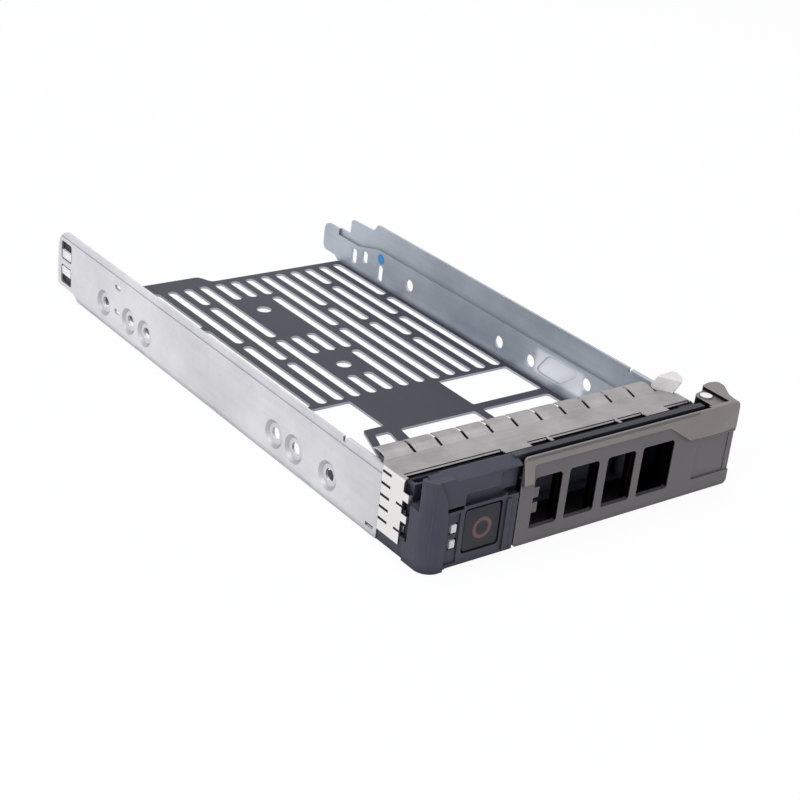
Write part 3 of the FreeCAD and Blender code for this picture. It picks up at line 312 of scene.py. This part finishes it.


def handle_moulding():
    """Bronze-grey satin moulding, with a warmer, paler painted sheen on the hood and near-black painted
    shade on the walls inside its windows.
    """
    made = Nodes("handle_plastic_finish")
    grain = made.noise(scale=2400, detail=2, roughness=0.6)
    cloud = made.noise(scale=50, detail=4, roughness=0.6)
    panel = made.ramp(cloud, [(0.3, PANEL_LOW), (0.7, PANEL_HIGH)])
    hood = made.ramp(cloud, [(0.3, HOOD_SHEEN_LOW), (0.7, HOOD_SHEEN_HIGH)])
    # Painted sheen where the hood slopes upward, laid also over its end block above the hood's foot.
    upward_sheen = made.between(made.normal("Z"), 0.05, 0.13)
    end_block = made.between(made.place("X"), HOOD_BLOCK, HOOD_BLOCK + BLOCK_FADE)
    raised = made.between(made.place("Z"), HOOD_FOOT - HOOD_FADE, HOOD_FOOT + HOOD_FADE)
    colour = made.mix(made.times(made.maths("MAXIMUM", upward_sheen, end_block), raised), panel, hood)
    # Painted highlight, partly wear, along the handle's edges.
    colour = made.edge_highlight_and_wear(colour, radius=0.0004, bright=HANDLE_EDGE_HIGHLIGHT_AND_WEAR)
    # Near-black painted shade on the sideways walls inside the windows, made metallic to lose their gloss.
    sideways = made.between(made.facing("X"), 0.6, 0.9)
    inside = made.between(made.place("Y"), HANDLE_FRONT + WINDOW_START, HANDLE_FRONT + WINDOW_DARK)
    wall_shade = made.times(sideways, inside)
    colour = made.mix(wall_shade, colour, WINDOW_WALL_SHADE)
    # Painted shade in the handle's crevices.
    colour = made.paint_crevice_shade(colour, reach=0.0022, dark=HANDLE_CREVICE_SHADE)
    rough = made.ramp(cloud, [(0.3, 0.36), (0.7, 0.48)])
    return made.set(Base_Color=colour, Roughness=rough,
                    Metallic=made.maths("MULTIPLY_ADD", wall_shade, WALL_SHADE_METALLIC, PANEL_METALLIC),
                    Normal=made.bump(grain, GRAIN_HEIGHT, strength=0.3, edge=0.0003)).material


STEEL_FOLD_SHADE = (0.12, 0.115, 0.12)
STAIN_SHARE = 0.8
LINES_ALONG_X, LINES_ALONG_Z = (0.04, 1.0, 1.0), (1.0, 1.0, 0.04)


def steel(name, low, high, rough, lines_along=LINES_ALONG_X, side_reflection=None):
    """Bright steel with fine drawn lines, stained in patches, with painted shade in its folds.

    low and high are the ends of its stained colour, rough those of its roughness. The last colour, where
    given, is a painted reflection on the parts that face sideways.
    """
    made = Nodes(name)
    lines = made.noise(scale=1500, detail=3, roughness=0.6, stretch=lines_along)
    stain = made.noise(scale=70, detail=6, roughness=0.7)
    tone = made.maths("MULTIPLY_ADD", lines, 1.0 - STAIN_SHARE, made.times(stain, STAIN_SHARE))
    colour = made.ramp(tone, [(0.35, low), (0.65, high)])
    if side_reflection:
        # Painted reflection on the faces that turn sideways.
        colour = made.mix(made.between(made.facing("X"), 0.6, 0.9), colour, side_reflection)
    # Painted shade in folds and where walls stand close.
    colour = made.paint_crevice_shade(colour, reach=0.0016, dark=STEEL_FOLD_SHADE)
    gloss = made.ramp(tone, [(0.3, rough[0]), (0.7, rough[1])])
    return made.set(Base_Color=colour, Roughness=gloss, Metallic=1.0,
                    Normal=made.bump(lines, LINE_HEIGHT, strength=0.3)).material


def plain_coloured(name, low, high):
    """Printed or plain moulded colour with slight unevenness."""
    made = Nodes(name)
    speckle = made.noise(scale=1800, detail=3, roughness=0.6)
    return made.set(Base_Color=made.ramp(speckle, [(0.3, low), (0.7, high)]), Roughness=0.5,
                    Normal=made.bump(speckle, LINE_HEIGHT, strength=0.3)).material


HAZE_LOW, HAZE_HIGH = (0.82, 0.85, 0.88), (0.93, 0.95, 0.97)


def clear_plastic():
    """Milky clear moulding that carries light to the front."""
    made = Nodes("clear_plastic_finish")
    haze = made.noise(scale=300, detail=3, roughness=0.5)
    return made.set(Base_Color=made.ramp(haze, [(0.3, HAZE_LOW), (0.7, HAZE_HIGH)]),
                    Roughness=made.ramp(haze, [(0.3, 0.16), (0.7, 0.3)]), Transmission_Weight=0.35,
                    IOR=1.49).material


FINISHES = {
    "left_rail": zinc("left_rail_zinc", (0.55, 0.545, 0.57), (0.70, 0.69, 0.715)),
    "right_rail": zinc("right_rail_zinc", (0.32, 0.37, 0.43), (0.48, 0.52, 0.57), pad=RAIL_PAD),
    "base_plate": coated_sheet(),
    "bezel_body": moulded("bezel_plastic_finish", (0.031, 0.034, 0.050), (0.046, 0.050, 0.071),
                          rough=(0.42, 0.55), lit_and_worn_edge_colour=(0.10, 0.105, 0.125), dark=(0.006, 0.006, 0.008),
                          behind_handle=True),
    "handle_lever": handle_moulding(),
    "emi_gasket": steel("gasket_steel", (0.28, 0.268, 0.275), (0.40, 0.385, 0.388),
                        rough=(0.3, 0.44), side_reflection=(0.80, 0.78, 0.775)),
    "hinge_pin": steel("pin_steel_finish", (0.75, 0.75, 0.76), (0.88, 0.88, 0.88),
                       rough=(0.18, 0.3), lines_along=LINES_ALONG_Z),
    "spring": steel("spring_wire_finish", (0.45, 0.45, 0.46), (0.6, 0.6, 0.61), rough=(0.25, 0.4)),
    "screw": steel("screw_zinc", (0.5, 0.5, 0.5), (0.66, 0.66, 0.65), rough=(0.28, 0.42)),
    "button": moulded("button_plastic_finish", (0.014, 0.014, 0.019), (0.023, 0.022, 0.028),
                      rough=(0.4, 0.52), lit_and_worn_edge_colour=(0.06, 0.057, 0.062), dark=(0.004, 0.004, 0.005),
                      edge=0.0003),
    "button_ring": plain_coloured("ring_print_finish", (0.075, 0.034, 0.034), (0.125, 0.05, 0.046)),
    "latch": moulded("latch_plastic_finish", (0.022, 0.022, 0.024), (0.034, 0.034, 0.036),
                     rough=(0.45, 0.6), lit_and_worn_edge_colour=(0.06, 0.06, 0.065), dark=(0.005, 0.005, 0.006),
                     edge=0.0002),
    "pipe": clear_plastic(),
    "rail_plug": plain_coloured("plug_blue_finish", (0.03, 0.20, 0.50), (0.05, 0.28, 0.62)),
}
# Nodes that share a finish. Every other node wears the finish of its own name.
WEARS = {
    "hinge_spring": "spring", "button_spring": "spring", "latch_spring": "spring",
    "release_button": "button", "latch_cover": "bezel_body",
    "latch_slide": "latch", "light_pipe_clip": "latch",
    "upper_light_pipe": "pipe", "lower_light_pipe": "pipe",
    "bezel_screws": "screw", "plate_screws": "screw",
}


def finish_nodes():
    """Gives every CAD node its procedural finish."""
    for name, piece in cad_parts.items():
        piece.data.materials.clear()
        piece.data.materials.append(FINISHES[WEARS.get(name, name)])


finish_nodes()

# ---------------------------------------------------------------- stage and light

WHITE = (1.0, 1.0, 1.0, 1.0)
FLOOR_HALF, FLOOR_DROP = 3.0, 0.0002    # half its side, and how far it lies under the caddy
FLOOR_COLOUR, FLOOR_ROUGHNESS = (0.80, 0.80, 0.82, 1.0), 0.9
FLOOR_WHITENESS = 0.93                  # the rest of what is seen of it keeps the caddy's shadow
SKY_COLOUR, SKY_STRENGTH = (0.93, 0.95, 1.0, 1.0), 0.62
# Square soft lights: where each stands, what it points at, its side and its power in watts.
SOFT_LIGHTS = {
    "key_left": ((-1.1, -0.1, 0.75), (0.0, 0.05, 0.0), 0.9, 9.0),
    "top": ((0.1, 0.15, 1.2), (0.0, 0.05, 0.0), 0.9, 5.0),
    "front": ((-0.2, -1.2, 0.5), (0.0, -0.04, 0.0), 0.7, 3.0),
}


def sees_background(tree):
    """1 for the rays that show the background: straight from the camera, off metal and through glass."""
    path = tree.nodes.new("ShaderNodeLightPath")
    seen = path.outputs["Is Camera Ray"]
    for kind in ("Is Glossy Ray", "Is Transmission Ray"):
        either = tree.nodes.new("ShaderNodeMath")
        either.operation = "MAXIMUM"
        tree.links.new(seen, either.inputs[0])
        tree.links.new(path.outputs[kind], either.inputs[1])
        seen = either.outputs[0]
    return seen


def set_stage():
    """Plain pale floor, which is nearly as white as the sky to the camera and in reflections."""
    z = cad_box[0][2] - FLOOR_DROP
    corners = [(x * FLOOR_HALF, y * FLOOR_HALF, z) for x, y in ((-1, -1), (1, -1), (1, 1), (-1, 1))]
    mesh = bpy.data.meshes.new("floor")
    mesh.from_pydata(corners, [], [(0, 1, 2, 3)])
    floor = bpy.data.objects.new("floor", mesh)
    scene.collection.objects.link(floor)
    made = Nodes("floor_white")
    made.set(Base_Color=FLOOR_COLOUR, Roughness=FLOOR_ROUGHNESS)
    white = made.add("Emission", {"Color": WHITE, "Strength": 1.0}).outputs[0]
    share = made.times(sees_background(made.tree), FLOOR_WHITENESS)
    seen = made.add("MixShader", {0: share, 1: made.shader.outputs[0], 2: white}).outputs[0]
    made.put(made.output.inputs["Surface"], seen)
    mesh.materials.append(made.material)


def set_world():
    """Even surround: a plain level of light on the object, white as a background and in reflections."""
    world = bpy.data.worlds.new("surround")
    scene.world = world
    world.use_nodes = True
    tree = world.node_tree
    sky = tree.nodes["Background"]
    sky.inputs["Color"].default_value = SKY_COLOUR
    sky.inputs["Strength"].default_value = SKY_STRENGTH
    white = tree.nodes.new("ShaderNodeBackground")
    white.inputs["Color"].default_value = WHITE
    white.inputs["Strength"].default_value = 1.0
    both = tree.nodes.new("ShaderNodeMixShader")
    tree.links.new(sees_background(tree), both.inputs[0])
    tree.links.new(sky.outputs[0], both.inputs[1])
    tree.links.new(white.outputs[0], both.inputs[2])
    tree.links.new(both.outputs[0], tree.nodes["World Output"].inputs["Surface"])


def soft_light(name, place, target, side, power):
    """A square area light that points at its target."""
    data = bpy.data.lights.new(name, "AREA")
    data.shape, data.size, data.energy = "SQUARE", side, power
    light = bpy.data.objects.new(name, data)
    scene.collection.objects.link(light)
    light.location = place
    light.rotation_euler = (Vector(target) - Vector(place)).to_track_quat("-Z", "Y").to_euler()


set_stage()
set_world()
for light_name, settings in SOFT_LIGHTS.items():
    soft_light(light_name, *settings)
scene.view_settings.view_transform = "Standard"
